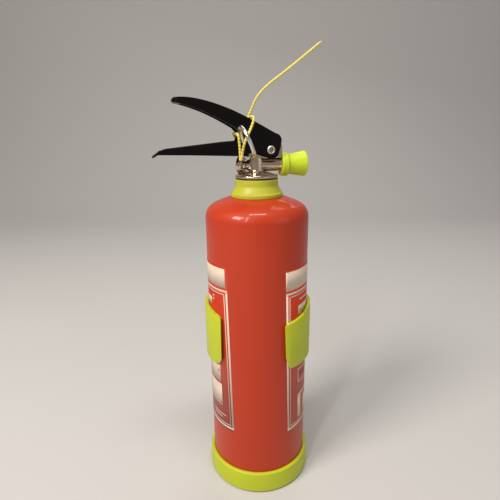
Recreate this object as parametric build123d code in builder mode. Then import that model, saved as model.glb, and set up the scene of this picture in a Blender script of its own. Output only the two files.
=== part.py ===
from build123d import *
import os
from math import atan2, cos, degrees, pi, radians, sin, sqrt, tan

os.makedirs("parts", exist_ok=True)

# Frame: millimetres, +Z up, origin at the centre of the flat foot.
# +X is the way the nozzle points, the two handles reach out along -X.

# ---------------------------------------------------------------- driving dimensions

# bottle
body_r = 42.5
body_wall = 1.2
straight_top = 240.0          # where the straight wall ends and the shoulder begins
knuckle_r = 12.0              # shoulder corner
crown_r = 80.0                # shoulder crown
heel_r = 8.0                  # bottom corner
powder_top = 176.0
powder_gap = 0.3

# boot under the bottle
boot_floor = 2.6
boot_wall = 2.8
boot_h = 19.5
boot_foot_grow = 0.7          # the boot is this much wider at its foot
boot_round = 2.5

# neck
boss_bore_r = 13.5
boss_wall = 2.1
boss_below = 6.0              # how far the boss reaches below the crown's apex
boss_above = 11.3             # and above it
collar_wall = 1.5
collar_lip_r = 21.3
collar_lip_h = 3.0
gasket_h = 1.2
gasket_set_back = 0.3

# valve, heights are above the flange's lower face
flange_r = 17.2
flange_h = 1.7
step_r = 9.5
step_h = 3.9
barrel_r = 5.6
thread_gap = 0.05
spigot_len = 18.0
chamber_r = 7.5
seat_up = 0.6                 # roof of the spring chamber
seat_bore_r = 3.2
gland_up = 14.8               # floor of the gland, roof of the flow passage
outlet_up = 9.6
outlet_r = 5.2
outlet_reach = 2.5            # outlet shoulder past the flange's rim
outlet_thread_r = 4.2
outlet_thread_len = 10.3
outlet_bore_r = 2.6
ear_half = 5.9
ear_left = -7.5
ear_bottom = 15.4
ear_top = 25.8

# stem, its seal and its spring
stem_r = 2.0
run_gap = 0.05                # radial running clearance
stem_gap = 0.45               # between the stem's tip and the lever's web
stem_head_r = 5.2
stem_head_h = 3.0
stem_seal_h = 2.0
o_ring_section = 1.6
o_ring_up = 17.2
retainer_h = 3.0
retainer_bore_r = 2.3
nipple_r = 3.75
nipple_len = 13.0
spring_wire = 1.0
spring_r = 5.2
spring_turns = 4.0

# siphon tube
siphon_r = 5.0
siphon_foot_gap = 5.0

# nozzle
nozzle_ring_r = 9.5
nozzle_ring_len = 5.4
nozzle_neck_r = 8.0
nozzle_mouth_r = 10.3
nozzle_len = 20.5
nozzle_lip = 1.6
orifice_r = 2.5
cone_wall = 1.0                # solid wall between the thread and the cone

# lever and carrying handle
sheet = 1.4
pivot_x = 9.8
pivot_up = 21.4
handle_half = 7.3             # outside half width of the carrying handle
side_gap = 0.3                # handle to lever, each side
grip_tip_round = 5.5
rivet_r = 2.6
rivet_bore_r = 1.8
rivet_head_r = 3.5
rivet_head_h = 0.8
rivet_side_gap = 0.1
cross_pin_x = -5.0
cross_pin_up = 21.6
cross_pin_r = 1.5
squeeze = 15.0                # lever travel, degrees

# safety pin
pin_x = -12.7
pin_up = 27.7
wire_r = 1.4
pin_hole_gap = 0.05
ring_r = 11.7                 # middle of the wire
ring_lean = 23.3              # degrees, its top leans towards the grips
ring_sweep = 283.0            # degrees of ring, the rest is open
ring_stand_off = 4.5
pin_point_out = 3.5
relief_gap = 0.4

# tamper tie
tie_d = 2.1
lock_size = (5.2, 6.2, 6.4)
lock_stand_off = 4.0          # lever's cheek to the middle of the lock
lock_up = 34.8
strand_apart = 2.8            # between the tie's two runs in the lock
tie_stand_off = 1.9           # lever's cheek to the tie's middle on the near side

# pressure gauge, lengths are from the valve's axis along the gauge's axis
gauge_turn = 145.0            # degrees from +X
gauge_up = 9.3
port_r = 4.6
port_end = 7.4
gauge_stem_r = 2.6
gauge_gasket_h = 0.8
gauge_back = 10.6
bezel_start = 12.6
gauge_front = 15.2
gauge_case_r = 6.9
bezel_r = 7.3
gauge_wall = 0.8
dial_at = 12.8
dial_h = 0.3
pointer_gap = 0.3
pointer_h = 0.3
pointer_len = 4.6
pointer_pivot_r = 0.4
lens_h = 0.8
lens_set_back = 0.2

# printed film
film = 0.15
film_bottom = 52.0
film_top = 204.5
film_right = -71.0            # degrees from +X
film_sweep = 291.7

# holder clip
clip_gap = 0.45
clip_wall = 3.0
clip_bottom = 119.2
clip_top = 166.0
clip_turn = 71.2              # degrees from +X, the way the plate faces
plate_w = 30.0
plate_t = 3.4
plate_stand_off = 0.6
plate_over = 15.6             # how far the plate reaches past the clip, each end
screw_inset = 6.5
screw_r = 2.6

# ---------------------------------------------------------------- worked out from them

shell_floor = boot_floor
crown_z = straight_top - sqrt((crown_r - knuckle_r) ** 2 - (body_r - knuckle_r) ** 2)
apex_z = crown_z + crown_r
boss_r = boss_bore_r + boss_wall
boss_top = apex_z + boss_above
boss_bottom = apex_z - boss_below
collar_r = boss_r + collar_wall + 0.2
collar_bore_r = boss_r + 0.2
collar_foot = crown_z + sqrt(crown_r**2 - collar_lip_r**2)
flange_z = boss_top + gasket_h
seat_z = flange_z + seat_up
gland_z = flange_z + gland_up
outlet_z = flange_z + outlet_up
outlet_end = flange_r + outlet_reach
outlet_thread_end = outlet_end + outlet_thread_len
cone_start = outlet_thread_end + cone_wall
nozzle_end = outlet_end + nozzle_len
spigot_foot = flange_z - spigot_len
pivot_z = flange_z + pivot_up
lever_in = handle_half + side_gap
lever_half = lever_in + sheet
pin_z = flange_z + pin_up
gauge_z = flange_z + gauge_up
lean = radians(ring_lean)


def side_points(points):
    """Side outline points given as (x, height above the flange's lower face)."""
    return [(x, flange_z + up) for x, up in points]


def turned(angle):
    """Upright plane through the axis: its x runs outwards at this angle, its y is up."""
    a = radians(angle)
    return Plane(origin=(0, 0, 0), x_dir=(cos(a), sin(a), 0), z_dir=(sin(a), -cos(a), 0))


def facing(angle, distance):
    """Upright plane whose normal points outwards at this angle, at this distance."""
    a = radians(angle)
    spot = (distance * cos(a), distance * sin(a), 0)
    return Plane(origin=spot, x_dir=(-sin(a), cos(a), 0), z_dir=(cos(a), sin(a), 0))


def along(angle, height):
    """Plane holding a level axis at this angle: its x runs along the axis, its y is up."""
    a = radians(angle)
    return Plane(origin=(0, 0, height), x_dir=(cos(a), sin(a), 0), z_dir=(sin(a), -cos(a), 0))


def bottle_section(inset):
    """Half section of the bottle, moved inwards from its outer face."""
    r = body_r - inset
    foot = shell_floor + inset
    knuckle = knuckle_r - inset
    crown = crown_r - inset
    heel = heel_r - inset
    join = atan2(straight_top - crown_z, body_r - knuckle_r)
    Line((0, foot), (r - heel, foot))
    CenterArc((r - heel, foot + heel), heel, -90, 90)
    Line((r, foot + heel), (r, straight_top))
    CenterArc((body_r - knuckle_r, straight_top), knuckle, 0, degrees(join))
    CenterArc((0, crown_z), crown, degrees(join), 90 - degrees(join))
    Line((0, crown_z + crown), (0, foot))


def save(builder, name):
    builder.part.label = name
    export_step(builder.part, "parts/" + name + ".step")


# ---------------------------------------------------------------- bottle

with BuildPart() as cylinder_shell:
    with BuildSketch(Plane.XZ):
        with BuildLine():
            bottle_section(0)
        make_face()
    revolve(axis=Axis.Z)
    with BuildSketch(Plane.XZ):
        with BuildLine():
            bottle_section(body_wall)
        make_face()
    revolve(axis=Axis.Z, mode=Mode.SUBTRACT)
    with BuildSketch(Plane.XY.offset(straight_top)):
        Circle(boss_r)
    extrude(amount=crown_r, mode=Mode.SUBTRACT)
save(cylinder_shell, "cylinder_shell")

with BuildPart() as neck_boss:
    with BuildSketch(Plane.XY.offset(boss_bottom)):
        Circle(boss_r)
        Circle(boss_bore_r, mode=Mode.SUBTRACT)
    extrude(amount=boss_top - boss_bottom)
    chamfer(neck_boss.edges().group_by(Axis.Z)[-1].sort_by(SortBy.LENGTH)[0], 0.6)
save(neck_boss, "neck_boss")

with BuildPart() as powder_charge:
    with BuildSketch(Plane.XZ):
        with BuildLine():
            bottle_section(body_wall + powder_gap)
        make_face()
    revolve(axis=Axis.Z)
    with BuildSketch(Plane.XY.offset(powder_top)):
        Circle(body_r)
    extrude(amount=apex_z, mode=Mode.SUBTRACT)
    with BuildSketch(Plane.XY):
        Circle(siphon_r + powder_gap)
    extrude(amount=apex_z, mode=Mode.SUBTRACT)
save(powder_charge, "powder_charge")

with BuildPart() as base_boot:
    boot_r = body_r + boot_wall
    with BuildSketch(Plane.XZ):
        with BuildLine():
            Polyline(
                (0, 0),
                (boot_r + boot_foot_grow, 0),
                (boot_r, boot_h),
                (body_r, boot_h),
                (body_r, shell_floor + heel_r),
                (body_r - heel_r, shell_floor),
                (0, shell_floor),
                close=True,
            )
        make_face()
    revolve(axis=Axis.Z)
    with BuildSketch(Plane.XZ):
        with BuildLine():
            bottle_section(0)
        make_face()
    revolve(axis=Axis.Z, mode=Mode.SUBTRACT)
    outer_edges = base_boot.edges().filter_by(GeomType.CIRCLE)
    foot_edge = outer_edges.group_by(Axis.Z)[0].sort_by(SortBy.LENGTH)[-1]
    fillet(foot_edge, boot_round)
    lip_edge = base_boot.edges().group_by(Axis.Z)[-1].sort_by(SortBy.LENGTH)[-1]
    fillet(lip_edge, boot_wall * 0.35)
save(base_boot, "base_boot")

with BuildPart() as neck_collar:
    lip_z = collar_foot + collar_lip_h
    flare_z = lip_z + 3.4
    with BuildSketch(Plane.XZ):
        with BuildLine():
            Line((collar_bore_r, collar_foot), (collar_lip_r, collar_foot))
            Line((collar_lip_r, collar_foot), (collar_lip_r, lip_z))
            Line((collar_lip_r, lip_z), (collar_lip_r - 1.2, lip_z + 0.4))
            Line((collar_lip_r - 1.2, lip_z + 0.4), (collar_r + 0.8, flare_z))
            Line((collar_r + 0.8, flare_z), (collar_r, flare_z + 1.6))
            Line((collar_r, flare_z + 1.6), (collar_r, boss_top))
            Line((collar_r, boss_top), (collar_bore_r, boss_top))
            Line((collar_bore_r, boss_top), (collar_bore_r, collar_foot))
        make_face()
    revolve(axis=Axis.Z)
    with BuildSketch(Plane.XZ):
        with BuildLine():
            bottle_section(0)
        make_face()
    revolve(axis=Axis.Z, mode=Mode.SUBTRACT)
save(neck_collar, "neck_collar")

with BuildPart() as neck_gasket:
    with BuildSketch(Plane.XY.offset(boss_top)):
        Circle(flange_r - gasket_set_back)
        Circle(boss_bore_r, mode=Mode.SUBTRACT)
    extrude(amount=gasket_h)
save(neck_gasket, "neck_gasket")

with BuildPart() as wrap_label:
    with BuildSketch(turned(film_right)):
        with Locations((body_r + film / 2, (film_bottom + film_top) / 2)):
            Rectangle(film, film_top - film_bottom)
    revolve(axis=Axis.Z, revolution_arc=film_sweep)
save(wrap_label, "wrap_label")

# ---------------------------------------------------------------- valve

outlet_plane = along(0, outlet_z)
gauge_plane = along(gauge_turn, gauge_z)
gauge_axis = Axis((0, 0, gauge_z), (cos(radians(gauge_turn)), sin(radians(gauge_turn)), 0))

with BuildPart() as valve_body:
    with BuildSketch(Plane.XZ):
        with BuildLine():
            step_z = flange_z + step_h
            Polyline(
                (0, spigot_foot),
                (boss_bore_r - thread_gap, spigot_foot),
                (boss_bore_r - thread_gap, flange_z),
                (flange_r, flange_z),
                (flange_r, flange_z + flange_h),
                (step_r + 0.8, flange_z + flange_h + 0.2),
                (step_r, step_z - 0.6),
                (step_r - 0.8, step_z),
                (barrel_r + 0.6, step_z + 0.3),
                (barrel_r, step_z + 1.2),
                (barrel_r, flange_z + ear_bottom + 1.0),
                (0, flange_z + ear_bottom + 1.0),
                close=True,
            )
        make_face()
    revolve(axis=Axis.Z)
    with BuildSketch(Plane.YZ):
        with Locations((0, outlet_z)):
            Circle(outlet_r)
    extrude(amount=outlet_end)
    with BuildSketch(Plane.YZ.offset(outlet_end)):
        with Locations((0, outlet_z)):
            Circle(outlet_thread_r)
    extrude(amount=outlet_thread_end - outlet_end)
    with BuildSketch(Plane.XZ):
        with BuildLine():
            Polyline(
                (barrel_r - 1, step_z),
                (outlet_end - 7.0, outlet_z - outlet_r + 0.6),
                (barrel_r - 1, outlet_z - outlet_r + 0.6),
                close=True,
            )
        make_face()
    extrude(amount=1.6, both=True)
    with BuildSketch(Plane.XZ):
        with Locations(((ear_left + outlet_end) / 2, flange_z + (ear_bottom + ear_top) / 2)):
            Rectangle(outlet_end - ear_left, ear_top - ear_bottom)
    extrude(amount=ear_half, both=True)
    ear_edges = valve_body.edges().filter_by(Axis.Z).filter_by_position(
        Axis.Z, flange_z + ear_bottom, flange_z + ear_top
    )
    fillet(ear_edges.group_by(Axis.X)[-1], 1.2)
    with BuildSketch(facing(gauge_turn, 0)):
        with Locations((0, gauge_z)):
            Circle(port_r)
    extrude(amount=port_end)
    with BuildSketch(Plane.XY.offset(spigot_foot)):
        Circle(chamber_r)
    extrude(amount=seat_z - spigot_foot, mode=Mode.SUBTRACT)
    with BuildSketch(Plane.XY.offset(seat_z)):
        Circle(seat_bore_r)
    extrude(amount=gland_z - seat_z, mode=Mode.SUBTRACT)
    with BuildSketch(Plane.XY.offset(gland_z)):
        Circle(stem_r + run_gap)
    extrude(amount=ear_top, mode=Mode.SUBTRACT)
    with BuildSketch(Plane.XY.offset(flange_z + o_ring_up)):
        Circle(stem_r + run_gap + o_ring_section)
    extrude(amount=o_ring_section, mode=Mode.SUBTRACT)
    with BuildSketch(Plane.YZ):
        with Locations((0, outlet_z)):
            Circle(outlet_bore_r)
    extrude(amount=outlet_thread_end, mode=Mode.SUBTRACT)
    with BuildSketch(facing(gauge_turn, barrel_r - 1.6)):
        with Locations((0, gauge_z)):
            Circle(gauge_stem_r)
    extrude(amount=port_end, mode=Mode.SUBTRACT)
    with BuildSketch(facing(gauge_turn, 0)):
        with Locations((0, gauge_z)):
            Circle(0.8)
    extrude(amount=port_end, mode=Mode.SUBTRACT)
    with BuildSketch(Plane.XZ):
        with Locations((pivot_x, pivot_z)):
            Circle(rivet_r)
        with Locations((cross_pin_x, flange_z + cross_pin_up)):
            Circle(cross_pin_r)
    extrude(amount=ear_half, both=True, mode=Mode.SUBTRACT)
save(valve_body, "valve_body")

with BuildPart() as spring_retainer:
    with BuildSketch(Plane.XY.offset(spigot_foot)):
        Circle(chamber_r)
    extrude(amount=retainer_h)
    with BuildSketch(Plane.XY.offset(spigot_foot)):
        Circle(nipple_r)
    extrude(amount=-nipple_len)
    with BuildSketch(Plane.XY.offset(spigot_foot - nipple_len)):
        Circle(retainer_bore_r)
    extrude(amount=nipple_len + retainer_h, mode=Mode.SUBTRACT)
save(spring_retainer, "spring_retainer")

with BuildPart() as siphon_tube:
    siphon_foot = shell_floor + body_wall + siphon_foot_gap
    with BuildSketch(Plane.XY.offset(siphon_foot)):
        Circle(siphon_r)
        Circle(nipple_r, mode=Mode.SUBTRACT)
    extrude(amount=spigot_foot - siphon_foot)
    with BuildSketch(Plane.XZ):
        with BuildLine():
            Polyline(
                (-siphon_r, siphon_foot - 1),
                (siphon_r + 1, siphon_foot - 1),
                (siphon_r + 1, siphon_foot + siphon_r),
                (-siphon_r, siphon_foot),
                close=True,
            )
        make_face()
    extrude(amount=2 * siphon_r, both=True, mode=Mode.SUBTRACT)
save(siphon_tube, "siphon_tube")

# ---------------------------------------------------------------- lever

web_top = side_points(
    [(-61.7, 60.0), (-52.1, 59.9), (-38.1, 57.2), (-18.2, 50.2), (-2.3, 42.4), (13.4, 33.9)]
)
nose = side_points([(-64.7, 58.0)])[0]
web_shift = (-0.45, -sheet - 0.1)


with BuildPart() as squeeze_lever:
    with BuildSketch(Plane.XZ):
        with BuildLine():
            rear = side_points([(18.2, 28.3), (17.6, 24.2), (15.7, 17.9)])
            lobe = side_points([(-11.3, 24.0), (-16.3, pin_up), (-14.4, 31.2)])
            under = side_points([(-14.4, 33.6), (-18.4, 38.0), (-34.1, 46.5), (-46.4, 51.8), (-61.3, 56.2)])
            front_foot = side_points([(-7.0, 20.6), (-2.4, 18.6), (4.7, 16.0)])
            chin = (pivot_x, pivot_z - 6.9)
            top = Spline(*web_top)
            RadiusArc(nose, web_top[0], 3.2)
            RadiusArc(web_top[-1], rear[0], 5.5)
            Line(rear[0], rear[1])
            Line(rear[1], rear[2])
            ThreePointArc(rear[2], (pivot_x + 2.6, pivot_z - 6.5), chin)
            Line(chin, front_foot[2])
            Line(front_foot[2], front_foot[1])
            Line(front_foot[1], front_foot[0])
            Line(front_foot[0], lobe[0])
            ThreePointArc(lobe[0], lobe[1], lobe[2])
            Line(lobe[2], under[0])
            Line(under[0], under[1])
            Spline(*under[1:])
            RadiusArc(under[-1], nose, 3.2)
        make_face()
    extrude(amount=lever_half, both=True)
    with BuildSketch(Plane.XY):
        with Locations(((nose[0] + 40) / 2, 0)):
            RectangleRounded(40 - nose[0], 2 * lever_half, grip_tip_round)
    extrude(amount=apex_z * 2, mode=Mode.INTERSECT)
    with BuildSketch(Plane.XZ):
        with BuildLine():
            inner = [(x + web_shift[0], z + web_shift[1]) for x, z in web_top[1:]]
            Spline(*inner)
            Line(inner[-1], (40, inner[-1][1]))
            Line((40, inner[-1][1]), (40, flange_z))
            Line((40, flange_z), (inner[0][0] - 6, flange_z))
            Line((inner[0][0] - 6, flange_z), (inner[0][0] - 6, inner[0][1] - 1.0))
            Line((inner[0][0] - 6, inner[0][1] - 1.0), inner[0])
        make_face()
    extrude(amount=lever_in, both=True, mode=Mode.SUBTRACT)
    with BuildSketch(Plane.XZ):
        with Locations((pivot_x, pivot_z)):
            Circle(rivet_r + run_gap)
        with Locations((pin_x, pin_z)):
            Circle(wire_r + pin_hole_gap)
    extrude(amount=lever_half, both=True, mode=Mode.SUBTRACT)
save(squeeze_lever, "squeeze_lever")

# ---------------------------------------------------------------- carrying handle

with BuildPart() as carrying_handle:
    with BuildSketch(Plane.XZ):
        with BuildLine():
            base = side_points([(-76.6, 19.2), (-54.6, 18.6), (-18.0, 17.1), (-8.6, 16.8)])
            rim = side_points([(-75.9, 21.7), (-70.8, 23.3), (-26.3, 27.9), (-14.7, 28.6), (3.0, 29.2)])
            lip = side_points([(-80.6, 16.9), (-81.4, 17.9)])
            Line(lip[0], base[0])
            Spline(*base[:3])
            Line(base[2], base[3])
            neck = side_points([(-7.8, 19.0), (4.0, 19.0)])
            Line(base[3], neck[0])
            Line(neck[0], neck[1])
            tail_end = (pivot_x + 5.6, pivot_z)
            ThreePointArc(neck[1], (pivot_x + 1.5, pivot_z - 5.4), tail_end)
            Line(tail_end, (pivot_x + 5.0, pivot_z + 4.0))
            Line((pivot_x + 5.0, pivot_z + 4.0), rim[-1])
            FilletPolyline(*rim, radius=12.0)
            Line(rim[0], lip[1])
            Line(lip[1], lip[0])
        make_face()
    extrude(amount=handle_half, both=True)
    with BuildSketch(Plane.XY):
        with Locations(((lip[1][0] + 40) / 2, 0)):
            RectangleRounded(40 - lip[1][0], 2 * handle_half, grip_tip_round)
    extrude(amount=apex_z * 2, mode=Mode.INTERSECT)
    with BuildSketch(Plane.XZ):
        with BuildLine():
            floor = [(x, z + sheet) for x, z in base]
            Spline(*floor[:3])
            Line(floor[2], floor[3])
            Line(floor[3], (base[3][0], flange_z))
            Line((base[3][0], flange_z), (40, flange_z))
            Line((40, flange_z), (40, 2 * flange_z))
            Line((40, 2 * flange_z), (floor[0][0], 2 * flange_z))
            Line((floor[0][0], 2 * flange_z), floor[0])
        make_face()
    extrude(amount=ear_half + 0.1, both=True, mode=Mode.SUBTRACT)
    # Room for the pin's shank, which travels down with the lever.
    pin_arm = sqrt((pin_x - pivot_x) ** 2 + (pin_z - pivot_z) ** 2)
    pin_angle = degrees(atan2(pin_z - pivot_z, pin_x - pivot_x))
    slot_r = wire_r + relief_gap
    slot_end = radians(pin_angle + squeeze)
    with BuildSketch(Plane.XZ):
        with BuildLine():
            slot_in = CenterArc((pivot_x, pivot_z), pin_arm - slot_r, pin_angle - 12, squeeze + 12)
            slot_out = CenterArc((pivot_x, pivot_z), pin_arm + slot_r, pin_angle - 12, squeeze + 12)
            Line(slot_in @ 0, slot_out @ 0)
            Line(slot_in @ 1, slot_out @ 1)
        make_face()
        with Locations((pivot_x + pin_arm * cos(slot_end), pivot_z + pin_arm * sin(slot_end))):
            Circle(slot_r)
    extrude(amount=handle_half, both=True, mode=Mode.SUBTRACT)
    with BuildSketch(Plane.XZ):
        with Locations((pivot_x, pivot_z)):
            Circle(rivet_r)
        with Locations((cross_pin_x, flange_z + cross_pin_up)):
            Circle(cross_pin_r)
    extrude(amount=handle_half, both=True, mode=Mode.SUBTRACT)
save(carrying_handle, "carrying_handle")

# ---------------------------------------------------------------- rivets and pins

with BuildPart() as pivot_rivet:
    head_at = lever_half + rivet_side_gap
    with BuildSketch(Plane.XZ):
        with Locations((pivot_x, pivot_z)):
            Circle(rivet_head_r)
    extrude(amount=head_at + rivet_head_h, both=True)
    rims = pivot_rivet.edges().filter_by(GeomType.CIRCLE)
    fillet(rims, 0.5)
    with BuildSketch(Plane.XZ):
        with Locations((pivot_x, pivot_z)):
            Circle(rivet_head_r + 1)
            Circle(rivet_r, mode=Mode.SUBTRACT)
    extrude(amount=head_at, both=True, mode=Mode.SUBTRACT)
    with BuildSketch(Plane.XZ):
        with Locations((pivot_x, pivot_z)):
            Circle(rivet_bore_r)
    extrude(amount=2 * lever_half, both=True, mode=Mode.SUBTRACT)
save(pivot_rivet, "pivot_rivet")

with BuildPart() as handle_cross_pin:
    with BuildSketch(Plane.XZ):
        with Locations((cross_pin_x, flange_z + cross_pin_up)):
            Circle(cross_pin_r)
    extrude(amount=handle_half, both=True)
save(handle_cross_pin, "handle_cross_pin")

# The pin is one wire: a straight shank through the lever and the handle, then the ring.
ring_start = -(lever_half + ring_stand_off)
ring_mid = (pin_x, ring_start - ring_r, pin_z)
ring_plane = Plane(origin=ring_mid, x_dir=(0, 1, 0), z_dir=(-cos(lean), 0, -sin(lean)))

with BuildPart() as safety_pin:
    with BuildLine(ring_plane) as ring_line:
        CenterArc((0, 0), ring_r, 0, -ring_sweep)
    with BuildSketch(Plane(origin=ring_line.line @ 0, z_dir=ring_line.line % 0)):
        Circle(wire_r)
    sweep(path=ring_line.line)
    with Locations(ring_line.line @ 0, ring_line.line @ 1):
        Sphere(wire_r)
    with BuildSketch(Plane.XZ.offset(-ring_start)):
        with Locations((pin_x, pin_z)):
            Circle(wire_r)
    extrude(amount=-(ring_stand_off + 2 * lever_half + pin_point_out))
    chamfer(safety_pin.edges().group_by(Axis.Y)[-1], 0.5)
save(safety_pin, "safety_pin")

# ---------------------------------------------------------------- stem, seals and spring

web_near = inner[-2]
web_far = inner[-1]
web_slope = atan2(web_near[1] - web_far[1], web_far[0] - web_near[0])
web_on_axis = web_near[1] + web_near[0] * tan(web_slope)
tip_z = web_on_axis - (stem_r + stem_gap) / cos(web_slope)
seal_z = seat_z - stem_seal_h
head_z = seal_z - stem_head_h
retainer_top = spigot_foot + retainer_h

with BuildPart() as valve_stem:
    with BuildSketch(Plane.XZ):
        with BuildLine():
            Line((0, head_z), (stem_head_r, head_z))
            Line((stem_head_r, head_z), (stem_head_r, seal_z))
            Line((stem_head_r, seal_z), (stem_r, seal_z))
            Line((stem_r, seal_z), (stem_r, tip_z))
            CenterArc((0, tip_z), stem_r, 0, 90)
            Line((0, tip_z + stem_r), (0, head_z))
        make_face()
    revolve(axis=Axis.Z)
save(valve_stem, "valve_stem")

with BuildPart() as stem_seal:
    with BuildSketch(Plane.XY.offset(seal_z)):
        Circle(stem_head_r - 0.4)
        Circle(stem_r, mode=Mode.SUBTRACT)
    extrude(amount=stem_seal_h)
save(stem_seal, "stem_seal")

with BuildPart() as stem_o_ring:
    o_ring_r = o_ring_section / 2
    with BuildSketch(Plane.XZ):
        with Locations((stem_r + run_gap + o_ring_r, flange_z + o_ring_up + o_ring_r)):
            Circle(o_ring_r)
    revolve(axis=Axis.Z)
save(stem_o_ring, "stem_o_ring")

with BuildPart() as stem_spring:
    coil_h = head_z - retainer_top - spring_wire - 0.1
    coil_foot = retainer_top + spring_wire / 2 + 0.05
    with BuildLine() as coil:
        Helix(coil_h / spring_turns, coil_h, spring_r, center=(0, 0, coil_foot))
    with BuildSketch(Plane(origin=coil.line @ 0, z_dir=coil.line % 0)):
        Circle(spring_wire / 2)
    sweep(path=coil.line, is_frenet=True)
save(stem_spring, "stem_spring")

# ---------------------------------------------------------------- nozzle

with BuildPart() as nozzle:
    ring_end = outlet_end + nozzle_ring_len
    with BuildSketch(Plane.XZ):
        with BuildLine():
            Polyline(
                (outlet_end, outlet_z + outlet_thread_r + thread_gap),
                (outlet_end, outlet_z + nozzle_ring_r - 0.6),
                (outlet_end + 0.6, outlet_z + nozzle_ring_r),
                (ring_end - 0.6, outlet_z + nozzle_ring_r),
                (ring_end, outlet_z + nozzle_ring_r - 0.6),
                (ring_end + 0.4, outlet_z + nozzle_neck_r),
                (nozzle_end - 0.8, outlet_z + nozzle_mouth_r),
                (nozzle_end, outlet_z + nozzle_mouth_r - 0.6),
                (nozzle_end, outlet_z + nozzle_mouth_r - nozzle_lip),
                (cone_start, outlet_z + nozzle_neck_r - nozzle_lip - 0.6),
                (cone_start, outlet_z + orifice_r),
                (outlet_thread_end, outlet_z + orifice_r),
                (outlet_thread_end, outlet_z + outlet_thread_r + thread_gap),
                close=True,
            )
        make_face()
    revolve(axis=Axis((0, 0, outlet_z), (1, 0, 0)))
save(nozzle, "nozzle")

# ---------------------------------------------------------------- pressure gauge


def gauge_disc(start, end, radius, mode=Mode.ADD):
    """Round disc on the gauge's axis between two lengths along it."""
    with BuildSketch(facing(gauge_turn, start)) as disc:
        with Locations((0, gauge_z)):
            Circle(radius)
    extrude(disc.sketch, amount=end - start, mode=mode)


case_floor = gauge_back + gauge_wall
cavity_r = bezel_r - 1.1
lens_end = gauge_front - lens_set_back
gasket_end = port_end + gauge_gasket_h
stem_start = barrel_r - 1.6
bourdon_r = 4.2
tube_r = 0.4

with BuildPart() as gauge_case:
    gauge_disc(stem_start, gasket_end, gauge_stem_r)
    gauge_disc(gasket_end, gauge_back, gauge_stem_r + 1.0)
    gauge_disc(gauge_back, bezel_start, gauge_case_r)
    gauge_disc(bezel_start, gauge_front, bezel_r)
    gauge_disc(case_floor, lens_end, cavity_r, Mode.SUBTRACT)
    gauge_disc(lens_end, gauge_front, cavity_r - 0.7, Mode.SUBTRACT)
    gauge_disc(stem_start, case_floor, 0.8, Mode.SUBTRACT)
save(gauge_case, "gauge_case")

with BuildPart() as gauge_gasket:
    gauge_disc(port_end, gasket_end, gauge_stem_r + 1.0)
    gauge_disc(port_end, gasket_end, gauge_stem_r, Mode.SUBTRACT)
save(gauge_gasket, "gauge_gasket")

with BuildPart() as gauge_dial:
    gauge_disc(dial_at, dial_at + dial_h, cavity_r)
    gauge_disc(dial_at, dial_at + dial_h, pointer_pivot_r + run_gap, Mode.SUBTRACT)
save(gauge_dial, "gauge_dial")

with BuildPart() as gauge_pointer:
    pointer_at = dial_at + dial_h + pointer_gap
    with BuildSketch(facing(gauge_turn, pointer_at)):
        with BuildLine():
            Polyline(
                (-0.55, gauge_z - 1.8),
                (0.55, gauge_z - 1.8),
                (0.15, gauge_z + pointer_len),
                (-0.15, gauge_z + pointer_len),
                close=True,
            )
        make_face()
    extrude(amount=pointer_h)
    gauge_disc(dial_at - 0.3, pointer_at + pointer_h, pointer_pivot_r)
save(gauge_pointer, "gauge_pointer")

with BuildPart() as gauge_lens:
    gauge_disc(lens_end - lens_h, lens_end, cavity_r)
save(gauge_lens, "gauge_lens")

with BuildPart() as bourdon_tube:
    bourdon_at = case_floor + 0.2 + tube_r
    with BuildLine(facing(gauge_turn, bourdon_at)) as bourdon_line:
        CenterArc((0, gauge_z), bourdon_r, -60, 250)
    with BuildSketch(Plane(origin=bourdon_line.line @ 0, z_dir=bourdon_line.line % 0)):
        Circle(tube_r)
    sweep(path=bourdon_line.line)
    with BuildSketch(facing(gauge_turn, case_floor)):
        with Locations((bourdon_r * cos(radians(-60)), gauge_z + bourdon_r * sin(radians(-60)))):
            Circle(0.9)
    extrude(amount=0.8)
save(bourdon_tube, "bourdon_tube")

# ---------------------------------------------------------------- holder clip

clip_in = body_r + clip_gap
clip_out = clip_in + clip_wall
clip_mid = (clip_bottom + clip_top) / 2
plate_at = clip_out + plate_stand_off
plate_h = clip_top - clip_bottom + 2 * plate_over

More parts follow.
